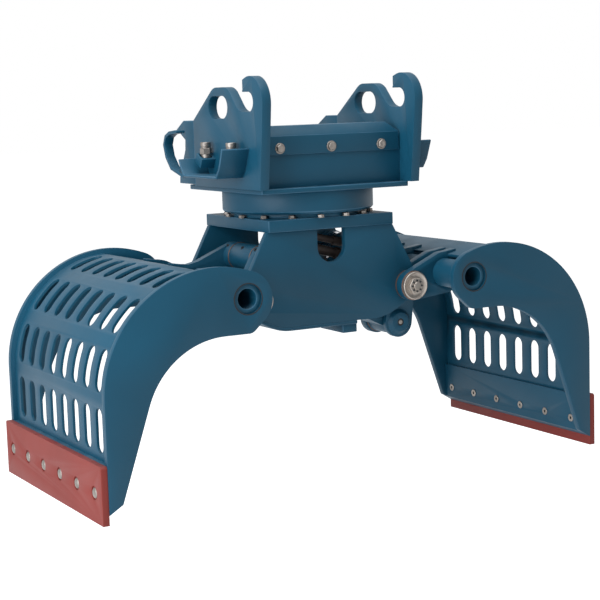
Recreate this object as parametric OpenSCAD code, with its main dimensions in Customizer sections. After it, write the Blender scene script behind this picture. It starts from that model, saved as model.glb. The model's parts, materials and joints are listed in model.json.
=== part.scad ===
// Sorting grapple for an excavator: two perforated shells that close on each other,
// hung under a slewing head with two hook ears.
// Heights in the sections are measured from the axis of the torque tubes.
// Left and right are seen from the front, which faces -Y. The shells stand fully open.

/* [Overall] */
// Height of the torque tube axes above the blade edges
tube_h = 592.5; // [500:0.5:700]
// Distance of each torque tube from the middle
tube_x = 393; // [380:1:420]
// Distance of each shell pivot from the middle
pivot_x = 276; // [270:1:284]
// Drop of the shell pivots below the tube axes
pivot_drop = 32; // [25:1:40]

/* [Shell side plates] */
// Length of a shell over its side plates
shell_len = 804; // [600:2:900]
// Thickness of a side plate
side_t = 20; // [12:1:30]
// Distance of the centre of the round back from the middle
back_x = 495; // [480:1:510]
// Drop of that centre below the tube axis
back_drop = 251; // [240:1:260]
// Radius of the side plate's round back
rim_r = 350; // [345:1:360]
// Radius of the side plate's nose round the tube
nose_r = 83; // [78:1:88]
// Direction from the back's centre to the nose, from the horizontal
nose_turn = 111.5; // [108:0.1:116]
// Radius of the side plate's chin under the tube
chin_r = 30; // [20:1:40]
// Drop of the chin's bottom and of the throat's top below the tube axis
throat_drop = 100; // [94:1:110]
// Radius of the inner throat of the side plate
throat_r = 255; // [245:1:265]
// Distance of the throat's centre from the middle
throat_x = 470; // [460:1:480]
// Turn of the throat where it becomes straight
throat_turn = 19; // [15:1:25]
// Height of the side plate's inner tip above the blade's edge
tip_up = 54.5; // [46:0.5:70]
// Height of the side plate's outer tip
heel_up = 29; // [24:0.5:44]

/* [Perforated plates] */
// Outer radius of the round back plate
back_r = 336; // [325:1:344]
// Thickness of the back and top plates
back_t = 8; // [6:0.5:16]
// Turn at which the round plate is folded down towards the torque tube
fold_turn = 86; // [84:0.5:88]
// Distance of the top plate's inner edge from the middle
lip_x = 404; // [396:1:415]
// Height of the top plate's inner edge
lip_z = 58; // [56:0.5:64]
// Number of slots in a row
slots = 8; // [4:1:9]
// Distance of the first slot's middle from the side plate
slot_edge = 63.5; // [40:0.5:80]
// Width of a slot
slot_w = 48; // [20:1:56]
// Turns at which the slots of the lower round row begin and end
row_low = [3.5, 24.5];
// Turns at which the slots of the upper round row begin and end
row_high = [32.8, 53.8];
// Distance of the straight row's slots from the edge bar
slot_low = 20.5; // [10:0.5:40]
// Distance of the straight row's slots from the round plate
slot_high = 24.5; // [10:0.5:40]
// Turns at which the slots of the top row begin and end
row_top = [62.5, 81.5];

/* [Cutting edge] */
// Height of the edge bar's top above the blade's edge
bar_top = 167.5; // [150:0.5:178]
// Thickness of the edge bar
bar_t = 32; // [24:1:40]
// Distance of the blade's ends from the side plates' outer faces
blade_set = 2; // [0:0.5:20]
// Thickness of the blade
blade_t = 20; // [8:1:24]
// Height of the blade
blade_h = 168; // [150:1:190]
// Cut on the blade's upper corners
blade_cut = 5; // [2:1:40]
// Height of the blade bolts above the blade's edge
bolt_up = 85; // [70:1:100]
// Number of blade bolts
blade_bolts = 6; // [4:1:8]
// Distance of the last blade bolts from the side plates
bolt_edge = 39.5; // [30:0.5:60]
// Radius of a blade bolt's shank
bolt_r = 10; // [8:0.5:12]
// Radius of a blade bolt's round head
dome_r = 16; // [12:0.5:18]
// Height of a blade bolt's round head
dome_h = 7; // [4:0.5:12]
// Radius of the recess round a blade bolt's head
recess_r = 20; // [19:0.5:28]
// Depth of that recess
recess_t = 5; // [2:0.5:7]

/* [Torque tubes and lugs] */
// Outer radius of a torque tube
tube_r = 45; // [40:0.5:48]
// Inner radius of a torque tube
tube_bore = 29.5; // [20:0.5:36]
// Depth of the tube's end inside the side plate
tube_set = 7; // [3:0.5:12]
// Radius of the lugs round a torque tube
wrap_r = 66; // [58:1:70]
// Radius of the lugs round a pivot pin
hub_r = 47; // [45:1:50]
// Thickness of a lug or lever plate
lug_t = 28; // [20:1:30]

/* [Pivot pins] */
// Radius of a pivot pin
pin_r = 30; // [24:0.5:34]
// Radius of a pin's end disc
disc_r = 44; // [38:1:47]
// Thickness of a pin's end disc
disc_t = 12; // [6:0.5:20]
// Wall of a pivot bush
bush_wall = 8; // [5:0.5:10]
// Radius of a bush's collar
collar_r = 47; // [45:1:49]
// Thickness of a bush's collar
collar_t = 6.6; // [4:0.1:10]
// Running clearance of a pin in its bush
pin_gap = 0.06; // [0.02:0.01:0.1]
// Clearance between faces that turn past each other
face_gap = 0.4; // [0.3:0.1:1]

/* [Link and cylinder levers] */
// Upper lever of the left shell, from its pivot
lever_up = [59, 113.8];
// Lower lever of the right shell, from its pivot
lever_low = [-16, -121.4];
// Cylinder lever of the right shell, from its pivot
lever_cyl = [-61, 114];
// Radius of an upper lever's eye
eye_r = 42; // [38:1:44]
// Radius of a lower lever's eye
low_eye_r = 49; // [44:1:50]
// Height of the round boss on the front lower lever
low_boss = 11; // [6:0.5:14]
// Radius of the link and cylinder pins
link_pin_r = 22; // [16:0.5:26]
// How much narrower the link's lower eye is than its upper eye
eye_step = 33; // [20:1:40]
// Depth of the link's box between its eyes
link_h = 60; // [40:1:70]
// How much narrower the link's box is than its lower eye
box_step = 10; // [2:1:20]
// Wall of the link's box
link_wall = 10; // [6:0.5:14]

/* [Cylinder] */
// Distance of the cylinder's anchor from the middle
anchor_x = 150; // [140:1:165]
// Drop of the cylinder's anchor below the tube axis
anchor_drop = 50; // [45:1:56]
// Clearance between the cylinder levers and the rear body plate
cyl_clear = 11.6; // [6:0.1:16]
// Clearance between the cylinder levers and the left shell's lever
boss_clear = 10.3; // [6:0.1:14]
// Outer radius of the barrel
barrel_r = 60; // [54:0.5:60]
// Wall of the barrel
barrel_wall = 10; // [7:0.5:14]
// Radius of the piston rod
rod_r = 28; // [22:0.5:34]
// Stroke of the piston that the barrel has room for
stroke = 150; // [140:1:160]
// Width of the cylinder's eyes
cyl_eye_w = 58; // [57:1:59]

/* [Body] */
// Half the width of the body's side plates at the top
body_half = 222; // [215:1:230]
// Height of the body plates' top edge
body_top = 165; // [160:1:170]
// Drop of the body plates' bottom edge
body_drop = 128; // [124:1:132]
// Radius of the body plates' lower corners
corner_r = 150; // [120:1:160]
// Distance of the lower corners' centres from the middle
corner_x = 150; // [140:1:156]
// Distance between the outer faces of the body plates
body_w = 410; // [400:1:412]
// Thickness of a body plate
body_t = 20; // [14:1:24]
// Radius of the notch in each body plate
notch_r = 49; // [35:1:60]
// Depth of the notch's round bottom below the plates' top
notch_depth = 104; // [70:1:115]
// Thickness of the bottom plate
floor_t = 11; // [8:1:16]
// Distance of the bottom plate's right end from the middle
floor_end = 87; // [70:1:92]
// Size of the oil block under the top plate
oil_block = [120, 80, 69];
// Distance of the oil block's middle behind the front body plate's inner face
oil_y = 60; // [56:1:70]
// Distance of the pipes' left ends from the middle
pipe_from = 62; // [50:1:80]
// Distance of the pipes' right ends from the middle
pipe_to = 118; // [100:1:130]
// Thickness of the pipe clamp
clamp_t = 14; // [8:1:20]
// Width of the pipe clamp
clamp_w = 85; // [80:1:110]
// Heights of the pipe clamp's ends above the tube axis
clamp_low = 40; // [20:1:44]
clamp_high = 128; // [120:1:140]
// Size of the top plate along X
top_x = 440; // [420:1:460]
// Size of the top plate along Y
top_y = 429; // [415:1:440]
// Thickness of the top plate
top_t = 36.7; // [25:0.1:45]

/* [Slewing bearing] */
// Outer radius of the fixed bearing ring
ring_r = 212; // [200:1:216]
// Width of the fixed bearing ring
ring_w = 36; // [25:1:45]
// Height of the bearing between the top plate and the drum
ring_h = 12.6; // [10:0.1:16]
// Number of bearing bolts
ring_bolts = 16; // [12:1:30]
// Radius of the circle of the bearing bolts
ring_bolt_pcd_r = 227; // [224:0.5:230]
// Radius of the drum
drum_r = 239; // [232:1:245]
// Height of the drum
drum_h = 68.2; // [50:0.1:90]

/* [Head] */
// Size of the head's base plate along X
base_x = 514; // [508:1:540]
// Size of the head's base plate along Y
base_y = 498; // [480:1:510]
// Thickness of the base plate
base_t = 15.2; // [10:0.1:20]
// Distance between the inner faces of the ears
ear_in = 498; // [480:1:500]
// Thickness of an ear
ear_t = 29; // [20:1:35]
// Height of the ears over the base plate
ear_h = 335; // [330:1:345]
// Forward distance of the hook seat
seat_y = 220.5; // [215:0.5:226]
// Height of the hook seat's axis over the base plate
seat_up = 259.5; // [255:0.5:264]
// Radius of the hook seat
seat_r = 29.5; // [25:0.5:32]
// Length of the long hole in an ear
hole_l = 130; // [100:1:140]
// Height of the long hole
hole_h = 69; // [50:1:70]
// Distance of the oil couplings from the ear
coupling_out = 23; // [22:0.5:26]
// Height of an oil coupling
coupling_h = 48; // [40:1:56]
// Radius of an oil coupling
coupling_r = 16; // [12:0.5:17]
// Height of the couplings' seats over the base plate
coupling_seat = 92; // [86:1:96]
// Radius of the valley between hook and hump
valley_r = 65; // [60:1:68]

/* [Hidden] */
$fn = 96;

// Colours of the finishes
blue = "#2c5f74";
blade_red = "#96564f";
steel = "#8a8a88";
dark_steel = "#4a4c4e";
hose_brown = "#4b403a";

// Overlap that lets straight sides cross arcs cleanly, and a length past every outline
arc_overlap = 0.01;
far = 1000;

// Width inside the shell's side plates, and outer faces of the shell
inside_w = shell_len - 2 * side_t;
back = [back_x, -back_drop];
tube = [tube_x, 0];
pivot = [pivot_x, -pivot_drop];
nose_shift = 0.2;
nose = back + (rim_r - nose_r + nose_shift) * [cos(nose_turn), sin(nose_turn)];
throat_top = arc_overlap - throat_drop;
chin = [tube_x, chin_r - throat_drop];
throat = [throat_x, throat_top - throat_r];
throat_end = throat + throat_r * [cos(throat_turn), sin(throat_turn)];
shell_out = back_x + rim_r;
tip_z = tip_up - tube_h;
tip = [throat_end.x + (throat_end.y - tip_z) * tan(throat_turn), tip_z];
bar_face = back_x + back_r - back_t;
edge_z = -tube_h;
slot_pitch = (inside_w - 2 * slot_edge) / (slots - 1);
bolt_pitch = (inside_w - 2 * bolt_edge) / (blade_bolts - 1);

// Turns at which the strips of the round plate meet, half-way between the rows of slots
low_end = (row_low[1] + row_high[0]) / 2;
high_end = (row_high[1] + row_top[0]) / 2;

// The round plate's fold, and the inner edge of its flat strip with the strip's slope
fold = back + back_r * [cos(fold_turn), sin(fold_turn)];
lip = [lip_x, lip_z];
lip_turn = atan2(fold.y - lip.y, fold.x - lip.x);

// Faces across the width, from the middle outwards
body_out = body_w / 2;
body_in = body_out - body_t;
lug_y = body_out + collar_t + face_gap;
lever_gap = 1.5;
lever_y = -body_in + lever_gap;
link_y = lever_y + lug_t + face_gap;
boss_len = 60;
cyl_half = cyl_eye_w / 2 + face_gap + lug_t;
cyl_y = body_in - cyl_clear - cyl_half;
eye_w = cyl_y - cyl_half - boss_clear - boss_len - face_gap - link_y;
low_eye_w = eye_w - eye_step;
link_w = low_eye_w - box_step;
upper_back = link_y + eye_w + face_gap;
lower_back = link_y + low_eye_w + face_gap;

// Lever eyes when the shells stand open
eye_up = [-pivot.x, pivot.y] + lever_up;
eye_low = pivot + lever_low;
eye_cyl = pivot + lever_cyl;
anchor = [-anchor_x, -anchor_drop];
plate_hub_r = 45;
bush_r = pin_r + bush_wall;
fixed_gap = 0.05;

// Circles round which the ear's hump is drawn, in Y and height over the base plate
hump_rear = [-8, 238.6, 67];
hump_front = [-54, 235.6, 70];

// Positions of the oil couplings along Y, and the slanted block under each of them
coupling_ys = [32, -143];
block_size = [47, 42, 30];
block_tilt = 27;

// Cylinder along its own axis, from the anchor pin
cap_x = 46;
cap_t = 24;
piston_t = 48;
gland_in = 20;
gland_out = 12;
barrel_bore = barrel_r - barrel_wall;
gland_x = cap_x + cap_t + piston_t + stroke;
barrel_end = gland_x + gland_in;
cyl_eye_r = 38;
rod_len = norm(eye_cyl - anchor);
piston_x = cap_x + cap_t + 2;
pin_seat = 5;
bolt_seat_r = 12;

// Front plate and rear plate between the ears, in Y and height over the base plate
plate_front = -216;
plate_rear = 134;
front_plate_t = 16;
front_plate_h = 150;
rear_plate_h = 170;

// Slewing parts, upwards from the body's top plate
top_face = body_top + top_t;
drum_z = top_face + ring_h;
base_z = drum_z + drum_h;
ear_z = base_z + base_t;
ear_out = ear_in / 2 + ear_t;

// Direction of the line that touches the right side of circles a and b, each [x, y, radius]
function touch_turn(a, b) =
    atan2(b.y - a.y, b.x - a.x) - acos((a.z - b.z) / norm([b.x - a.x, b.y - a.y]));

// Point just inside circle c in the direction turn, so that a straight side meets the arc cleanly
function on_rim(c, turn) =
    let (r = max(0, c.z - arc_overlap))
    [c.x + r * cos(turn), c.y + r * sin(turn)];

// Circle at a point
function round_at(p, r) = [p.x, p.y, r];

// Unit vector to the left of the way from a to b
function left_of(a, b) = [a.y - b.y, b.x - a.x] / norm(b - a);

// Corner b of the path a, b, c moved inwards by t
function moved_corner(a, b, c, t) =
    let (n = left_of(a, b), m = left_of(b, c))
    b + t * (n + m) / (1 + n * m);

// Convex outline round circles [x, y, radius], given counterclockwise
module rounded_outline(c) {
    last = len(c) - 1;
    polygon([for (i = [0:last])
        let (a = c[i], b = c[i == last ? 0 : i + 1], turn = touch_turn(a, b))
        each [on_rim(a, turn), on_rim(b, turn)]]);
    for (p = c)
        if (p.z > 0) translate([p.x, p.y]) circle(p.z);
}

// A flat outline in X and height, t thick from y0 backwards, heights from the tube axis
module upright(y0, t) {
    translate([0, y0 + t, tube_h]) rotate([90, 0, 0]) linear_extrude(t) children();
}

// A flat outline in Y and height, t thick from x0 to the right, heights from the base plate
module sideways(x0, t) {
    translate([x0, 0, tube_h + ear_z]) rotate([90, 0, 90]) linear_extrude(t) children();
}

// A round bar along Y at a point of the XZ plane
module cross_bar(p, r, y0, len) {
    translate([p.x, y0 + len, tube_h + p.y]) rotate([90, 0, 0]) cylinder(r = r, h = len);
}

// A block between two corners, heights from the tube axis
module block(low, high) {
    translate([low.x, low.y, tube_h + low.z]) cube(high - low);
}

// The same thing on the front and the back of the middle plane
module front_and_back() {
    children();
    mirror([0, 1, 0]) children();
}

// The same thing on the left and the right of the middle plane
module left_and_right() {
    children();
    mirror([1, 0, 0]) children();
}

// Y positions of a centred row
function row(count, pitch) = [for (i = [0:count - 1]) (i - (count - 1) / 2) * pitch];

// Outline of the body plates without holes, grown by g, its flanks straight above the pivots
module body_outline(g) {
    low = corner_r - body_drop;
    hub = round_at(pivot, plate_hub_r + g);
    shoulder = [body_half, body_top, 0];
    flank = on_rim(hub, touch_turn(hub, shoulder));
    difference() {
        rounded_outline([[-corner_x, low, corner_r + g], [corner_x, low, corner_r + g],
            hub, shoulder, [-body_half, body_top, 0], [-pivot.x, pivot.y, plate_hub_r + g]]);
        translate([-far, body_top]) square([2 * far, far]);
        left_and_right() polygon([flank, [far, flank.y], [far, body_top + 1],
            flank + (1 + 1 / (body_top - flank.y)) * ([body_half, body_top] - flank)]);
    }
}

// Body plate with its notch and the bush bores
module body_plate(y0) {
    notch_z = body_top - notch_depth + notch_r;
    upright(y0, body_t) difference() {
        body_outline(0);
        translate([0, notch_z]) circle(notch_r);
        translate([-notch_r, notch_z]) square([2 * notch_r, notch_depth]);
        for (s = [-1, 1]) translate([s * pivot.x, pivot.y]) circle(bush_r);
    }
}

module body_front_plate() {
    color(blue) body_plate(-body_out);
}

module body_rear_plate() {
    color(blue) body_plate(body_in);
}

module body_top_plate() {
    color(blue) block([-top_x / 2, -top_y / 2, body_top], [top_x / 2, top_y / 2, top_face]);
}

// Plate bent round the underside of the body, open at the right for the lower lever
module body_bottom_plate() {
    reach = 252;
    rise = 86;
    color(blue) upright(-body_out, body_w) intersection() {
        difference() {
            body_outline(floor_t);
            body_outline(0);
        }
        translate([-reach, -body_drop - 2 * floor_t])
            square([reach + floor_end, body_drop - rise + 2 * floor_t]);
    }
}

module bottom_stop_block() {
    under = -body_drop - floor_t;
    size = [51, 140, 26];
    color(blue) block([floor_end - size.x, -body_out + 5, under - size.z],
        [floor_end, -body_out + 5 + size.y, under]);
}

// Collared bush in a body plate, its collar outside
module pivot_bush() {
    difference() {
        union() {
            cross_bar(pivot, collar_r, -body_out - collar_t, collar_t);
            cross_bar(pivot, bush_r, -body_out, body_t);
        }
        cross_bar(pivot, pin_r + pin_gap, -body_out - collar_t - 1, body_t + collar_t + 2);
    }
}

module pivot_bushes() {
    color(hose_brown) left_and_right() front_and_back() pivot_bush();
}

// Two lugs on the bottom plate that hold the cylinder
module cylinder_anchor_lugs() {
    head_r = 36;
    foot = 42;
    for (y0 = [cyl_y - cyl_half, cyl_y + cyl_half - lug_t]) {
        color(blue) upright(y0, lug_t) difference() {
            intersection() {
                rounded_outline([[anchor.x - foot, -body_drop - 1, 0], [anchor.x + foot, -body_drop - 1, 0],
                    round_at(anchor, head_r)]);
                body_outline(0);
            }
            translate(anchor) circle(link_pin_r + fixed_gap);
        }
    }
}

module cylinder_anchor_pin() {
    color(steel) cross_bar(anchor, link_pin_r, cyl_y - cyl_half, 2 * cyl_half);
}

// Oil connections under the top plate
module hose_manifold() {
    low = body_top - oil_block.z;
    color(dark_steel) block([-oil_block.x, -body_in + oil_y - oil_block.y / 2, low],
        [-pipe_from, -body_in + oil_y + oil_block.y / 2, body_top]);
    color(blue) block([pipe_to, -body_in, clamp_low], [pipe_to + clamp_t, -body_in + clamp_w, clamp_high]);
}

module hose_pipe(from, to, r) {
    way = to - from;
    translate([from.x, from.y, tube_h + from.z])
        rotate([0, atan2(norm([way.x, way.y]), way.z), atan2(way.y, way.x)]) {
            cylinder(r = r, h = norm(way));
            translate([0, 0, norm(way) * 0.62]) cylinder(r = r + 4, h = norm(way) * 0.16, $fn = 6);
        }
}

module hose_pipes() {
    y = -body_in + oil_y;
    over = 4;
    color(hose_brown) intersection() {
        union() {
            hose_pipe([-pipe_from - over, y + 1, body_top - 15], [pipe_to + over, y + 1, body_top - 64], 11);
            hose_pipe([-pipe_from - over, y - 9, body_top - 53], [pipe_to + over, y - 9, body_top - 103], 15);
        }
        block([-pipe_from, -body_in, 0], [pipe_to, 0, body_top]);
    }
}

module slew_fixed_ring() {
    color(blue) translate([0, 0, tube_h + top_face]) difference() {
        cylinder(r = ring_r, h = ring_h - face_gap);
        translate([0, 0, -1]) cylinder(r = ring_r - ring_w, h = ring_h + 2);
    }
}

module slew_turning_ring() {
    outer = ring_r - ring_w - face_gap;
    color(steel) translate([0, 0, tube_h + top_face + face_gap]) difference() {
        cylinder(r = outer, h = ring_h - face_gap);
        translate([0, 0, -1]) cylinder(r = outer - ring_w, h = ring_h + 2);
    }
}

module slew_bolts() {
    head_h = 10;
    head_r = 10;
    step = 360 / ring_bolts;
    color(steel) for (i = [0:ring_bolts - 1]) {
        rotate([0, 0, (i + 0.5) * step]) translate([ring_bolt_pcd_r, 0, tube_h + top_face])
            cylinder(r = head_r, h = head_h, $fn = 6);
    }
}

// Drum with the slewing motor inside, rounded off at its lower rim
module rotator_drum() {
    cut = 7;
    color(blue) translate([0, 0, tube_h + drum_z]) {
        cylinder(r1 = drum_r - cut, r2 = drum_r, h = cut);
        translate([0, 0, cut]) cylinder(r = drum_r, h = drum_h - cut);
    }
}

module head_base_plate() {
    color(blue) block([-base_x / 2, -base_y / 2, base_z], [base_x / 2, base_y / 2, ear_z]);
}

// Ear with its hook, its hump and its long hole, in Y and height over the base plate
module ear_outline() {
    hook = [-229, 255, ear_h - 255];
    hook_tip = [-196, 308.5, 19];
    difference() {
        union() {
            rounded_outline([[-278, 0, 0], [162, 0, 0], [162, 205, 0],
                hump_rear, hump_front, [-300, 172, 0]]);
            rounded_outline([[-300, 172, 0], [-200, 172, 0], hook_tip, hook]);
        }
        hook_gap();
        long_hole();
    }
}

// Space between hook and hump: the seat, the valley behind it and the slope up to the hump
module hook_gap() {
    valley = [-185, seat_up - seat_r + valley_r, valley_r];
    turn = atan2(hump_front.y - valley.y, hump_front.x - valley.x)
        - acos((valley.z + hump_front.z) / norm([hump_front.x - valley.x, hump_front.y - valley.y]));
    low = on_rim(valley, turn);
    high = on_rim(hump_front, turn + 180);
    rounded_outline([[-seat_y, seat_up, seat_r], [valley.x + 2.2, seat_up, seat_r]]);
    intersection() {
        translate([valley.x, valley.y]) circle(valley.z);
        translate([valley.x + 1.8, 0]) square([valley_r, far]);
    }
    polygon([[valley.x, valley.y], low, high, high + 2 * (high - low), [valley.x, ear_h + 60]]);
}

module long_hole() {
    mid = [-16, 245];
    half = (hole_l - hole_h) / 2;
    rounded_outline([[mid.x - half, mid.y, hole_h / 2], [mid.x + half, mid.y, hole_h / 2]]);
}

module left_ear() {
    color(blue) sideways(-ear_out, ear_t) ear_outline();
}

module right_ear() {
    color(blue) sideways(ear_in / 2, ear_t) ear_outline();
}

module ear_front_plate() {
    color(blue) sideways(-ear_in / 2, ear_in)
        translate([plate_front, 0]) square([front_plate_t, front_plate_h]);
}

module ear_rear_plate() {
    color(blue) sideways(-ear_in / 2, ear_in)
        translate([plate_rear, 0]) square([front_plate_t, rear_plate_h]);
}

// Bent cover over the front of the head, its ends cut off at a slant
module head_hood() {
    sheet = 6;
    half = 242;
    front = plate_front - sheet;
    low = 99;
    bend = 155;
    high = 185;
    slope = 30;
    flat = 60;
    color(blue) difference() {
        sideways(-half, 2 * half) polygon([[front, low], [front + sheet, low], [front + sheet, bend - 2],
            [front + sheet + slope, high - sheet], [front + slope + flat, high - sheet],
            [front + slope + flat, high], [front + slope, high], [front, bend]]);
        left_and_right() upright(front - 5, slope + flat + 20)
            polygon([[half + 1, ear_z + bend], [half - slope, ear_z + high + 1],
                [half + 1, ear_z + high + 1]]);
    }
}

module hood_bolts() {
    color(steel) for (x = [-178, 0, 178]) {
        translate([x, plate_front - 6, tube_h + ear_z + 118.5]) rotate([90, 30, 0])
            cylinder(r = 14, h = 9, $fn = 6);
    }
}

// Rear ends of the ears, open to the rear for the locking wedge
module wedge_lips() {
    color(blue) left_and_right() sideways(ear_in / 2, ear_t)
        polygon([[162, 4], [281, 4], [279, 24], [250, 79], [232, 112], [229, 144], [280, 172],
            [293, 176], [238, 205], [162, 205]]);
}

// Channel outside an ear, for the oil couplings
module tray() {
    wall = 7;
    len = 90;
    path = [[93, 87], [81, 62], [61, 35], [-170, 35], [-192, 63], [-217, 122]];
    last = len(path) - 1;
    inner = [for (i = [1:last - 1]) moved_corner(path[i - 1], path[i], path[i + 1], -wall)];
    ends = [path[0] - wall * left_of(path[0], path[1]),
        path[last] - wall * left_of(path[last - 1], path[last])];
    sideways(ear_out, len)
        polygon(concat(path, [ends[1]], [for (i = [len(inner) - 1:-1:0]) inner[i]], [ends[0]]));
}

module right_tray() {
    color(blue) tray();
}

module left_tray() {
    color(blue) mirror([1, 0, 0]) tray();
}

// Slanted block on each ear that carries a coupling
module coupling_block(y) {
    difference() {
        translate([ear_out, y, tube_h + ear_z + coupling_seat]) rotate([block_tilt, 0, 0])
            translate([0, -block_size.y / 2, 6 - block_size.z]) cube(block_size);
        translate([ear_out + coupling_out, y, tube_h + ear_z + coupling_seat]) {
            cylinder(r = coupling_r + 4, h = 40);
            translate([0, 0, -block_size.z]) cylinder(r = 8, h = 2 * block_size.z);
        }
    }
}

module coupling_brackets() {
    color(blue) left_and_right() for (y = coupling_ys) {
        coupling_block(y);
    }
}

// Upright screw-on oil coupling
module quick_coupling() {
    difference() {
        union() {
            cylinder(r = coupling_r - 1, h = coupling_h);
            translate([0, 0, 12]) cylinder(r = coupling_r + 2, h = 18, $fn = 6);
            translate([0, 0, coupling_h - 14]) cylinder(r = coupling_r, h = 14);
        }
        translate([0, 0, coupling_h - 9]) cylinder(r = coupling_r - 5, h = 10);
    }
}

module quick_couplings() {
    color(steel) left_and_right() for (y = coupling_ys) {
        translate([ear_out + coupling_out, y, tube_h + ear_z + coupling_seat]) quick_coupling();
    }
}

// Bent flat bar behind each tray
module guard_bars() {
    bar = 30;
    r = 5;
    way = [[66, 38], [150, 60], [184, 95], [197, 132], [184, 158], [154, 170], [104, 174]];
    color(blue) left_and_right() difference() {
        sideways(ear_out + 90 - bar, bar) for (i = [1:len(way) - 1]) {
            rounded_outline([round_at(way[i - 1], r), round_at(way[i], r)]);
        }
        tray_space();
    }
}

// Space inside the tray, which the guard bar keeps out of
module tray_space() {
    sideways(ear_out - 1, 100) polygon([[93, 87], [81, 62], [61, 35], [0, 35], [0, 87]]);
}

// Side plate of a shell
module shell_side(y0) {
    upright(y0, side_t) difference() {
        union() {
            intersection() {
                rounded_outline([[tip.x, tip.y, 0], [shell_out, heel_up - tube_h, 0], round_at(back, rim_r),
                    round_at(nose, nose_r), [nose.x + 5, throat_top, 0]]);
                polygon([nose, [nose.x, -far], [2 * far, -far], [2 * far, far],
                    nose + rim_r * [cos(nose_turn), sin(nose_turn)]]);
            }
            rounded_outline([round_at(chin, chin_r), round_at(nose, nose_r)]);
        }
        translate(throat) circle(throat_r);
        polygon([[0, throat_top], [throat.x, throat_top], throat_end, tip, [tip.x, -far], [0, -far]]);
        translate(tube) circle(tube_r + fixed_gap);
    }
}

// Slot through the round plate between two turns round the back's centre
module round_slot(turns, y) {
    end = asin(slot_w / 2 / back_r);
    deep = 3 * back_t;
    translate([back.x, y, tube_h + back.y]) rotate([90, 0, 0]) {
        rotate([0, 0, turns[0] + end]) rotate_extrude(angle = turns[1] - turns[0] - 2 * end)
            translate([back_r - 2 * back_t, arc_overlap - slot_w / 2])
                square([deep, slot_w - 2 * arc_overlap]);
        for (turn = [turns[0] + end, turns[1] - end]) {
            rotate([0, 0, turn]) translate([back_r - 2 * back_t, 0, 0]) rotate([0, 90, 0])
                cylinder(d = slot_w, h = deep);
        }
    }
}

module straight_slot(y) {
    translate([bar_face - back_t, y, tube_h]) rotate([90, 0, 90]) linear_extrude(3 * back_t)
        rounded_outline([[0, edge_z + bar_top + slot_low + slot_w / 2, slot_w / 2],
            [0, back.y - slot_high - slot_w / 2, slot_w / 2]]);
}

// Row of slots through the round plate
module slot_row(turns) {
    for (y = row(slots, slot_pitch)) {
        round_slot(turns, y);
    }
}

// Strip of the round plate between two turns
module round_strip(from, to) {
    translate([back.x, inside_w / 2, tube_h + back.y]) rotate([90, 0, 0]) rotate([0, 0, from])
        rotate_extrude(angle = to - from) translate([back_r - back_t, 0]) square([back_t, inside_w]);
}

// Lower strip of the round perforated plate
module lower_plate() {
    difference() {
        round_strip(0, low_end);
        slot_row(row_low);
    }
}

// Middle strip of the round perforated plate
module back_plate() {
    difference() {
        round_strip(low_end, high_end);
        slot_row(row_high);
    }
}

// Straight perforated plate between the round plate and the edge bar
module straight_plate() {
    difference() {
        block([bar_face, -inside_w / 2, edge_z + bar_top], [bar_face + back_t, inside_w / 2, back.y]);
        for (y = row(slots, slot_pitch)) {
            straight_slot(y);
        }
    }
}

// Disc of the round plate below the line of its folded strip, both s inside the plate's outer side
module folded_disc(s) {
    intersection() {
        translate(back) circle(back_r - s);
        translate(lip) rotate(lip_turn) translate([-far, -far]) square([2 * far, far - s]);
    }
}

// Plate from the turn high_end over the fold down to the torque tube
module top_plate_outline() {
    difference() {
        folded_disc(0);
        folded_disc(back_t);
        translate(lip) rotate(lip_turn) translate([-far, -far]) square([far, 2 * far]);
        translate(back) rotate(high_end) translate([-far, -far]) square([2 * far, far]);
    }
}

// Upper strip of the round perforated plate with the flat strip that it is folded into
module top_plate() {
    difference() {
        upright(-inside_w / 2, inside_w) top_plate_outline();
        slot_row(row_top);
    }
}

module torque_tube() {
    len = shell_len - 2 * tube_set;
    difference() {
        cross_bar(tube, tube_r, -len / 2, len);
        cross_bar(tube, tube_bore, -len / 2 - 1, len + 2);
    }
}

// Outline of a plate round the torque tube and the pivot pin, its nose on the top plate
module lug_outline() {
    difference() {
        union() {
            rounded_outline([round_at(tube, wrap_r), round_at(pivot, hub_r)]);
            polygon([[tube.x - 4, wrap_r - 1], [tube.x, wrap_r - 24], [tube.x + 44, lip_z],
                [tube.x + 44, wrap_r + 7]]);
        }
        top_plate_outline();
        lug_holes();
    }
}

// The same plate with a lever from the pivot pin to an eye
module lever_outline(eye, r) {
    lug_outline();
    difference() {
        rounded_outline([round_at(pivot, hub_r), round_at(eye, r)]);
        lug_holes();
    }
}

module lug_holes() {
    translate(tube) circle(tube_r + fixed_gap);
    translate(pivot) circle(pin_r + fixed_gap);
}

// Pair of outer lugs beside the body
module lugs() {
    front_and_back() upright(-lug_y - lug_t, lug_t) lug_outline();
}

// Thick bar behind the blade, its underside in line with the side plates'
module edge_bar() {
    slope = (tip_up - heel_up) / (shell_out - tip.x);
    upright(-inside_w / 2, inside_w)
        polygon([[shell_out - bar_t, edge_z + heel_up + slope * bar_t], [shell_out, edge_z + heel_up],
            [shell_out, edge_z + bar_top], [shell_out - bar_t, edge_z + bar_top]]);
}

module blade() {
    half = shell_len / 2 - blade_set;
    low = edge_z;
    high = low + blade_h;
    difference() {
        translate([shell_out, 0, tube_h]) rotate([90, 0, 90]) linear_extrude(blade_t)
            polygon([[-half, low], [half, low], [half, high - blade_cut], [half - blade_cut, high],
                [blade_cut - half, high], [-half, high - blade_cut]]);
        blade_holes();
    }
}

module blade_holes() {
    for (y = row(blade_bolts, bolt_pitch)) {
        translate([shell_out - bar_t - 1, y, bolt_up]) rotate([0, 90, 0])
            cylinder(r = bolt_r + fixed_gap, h = bar_t + blade_t + 2);
        translate([shell_out + blade_t - recess_t, y, bolt_up]) rotate([0, 90, 0])
            cylinder(r = recess_r, h = recess_t + 1);
    }
}

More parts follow.
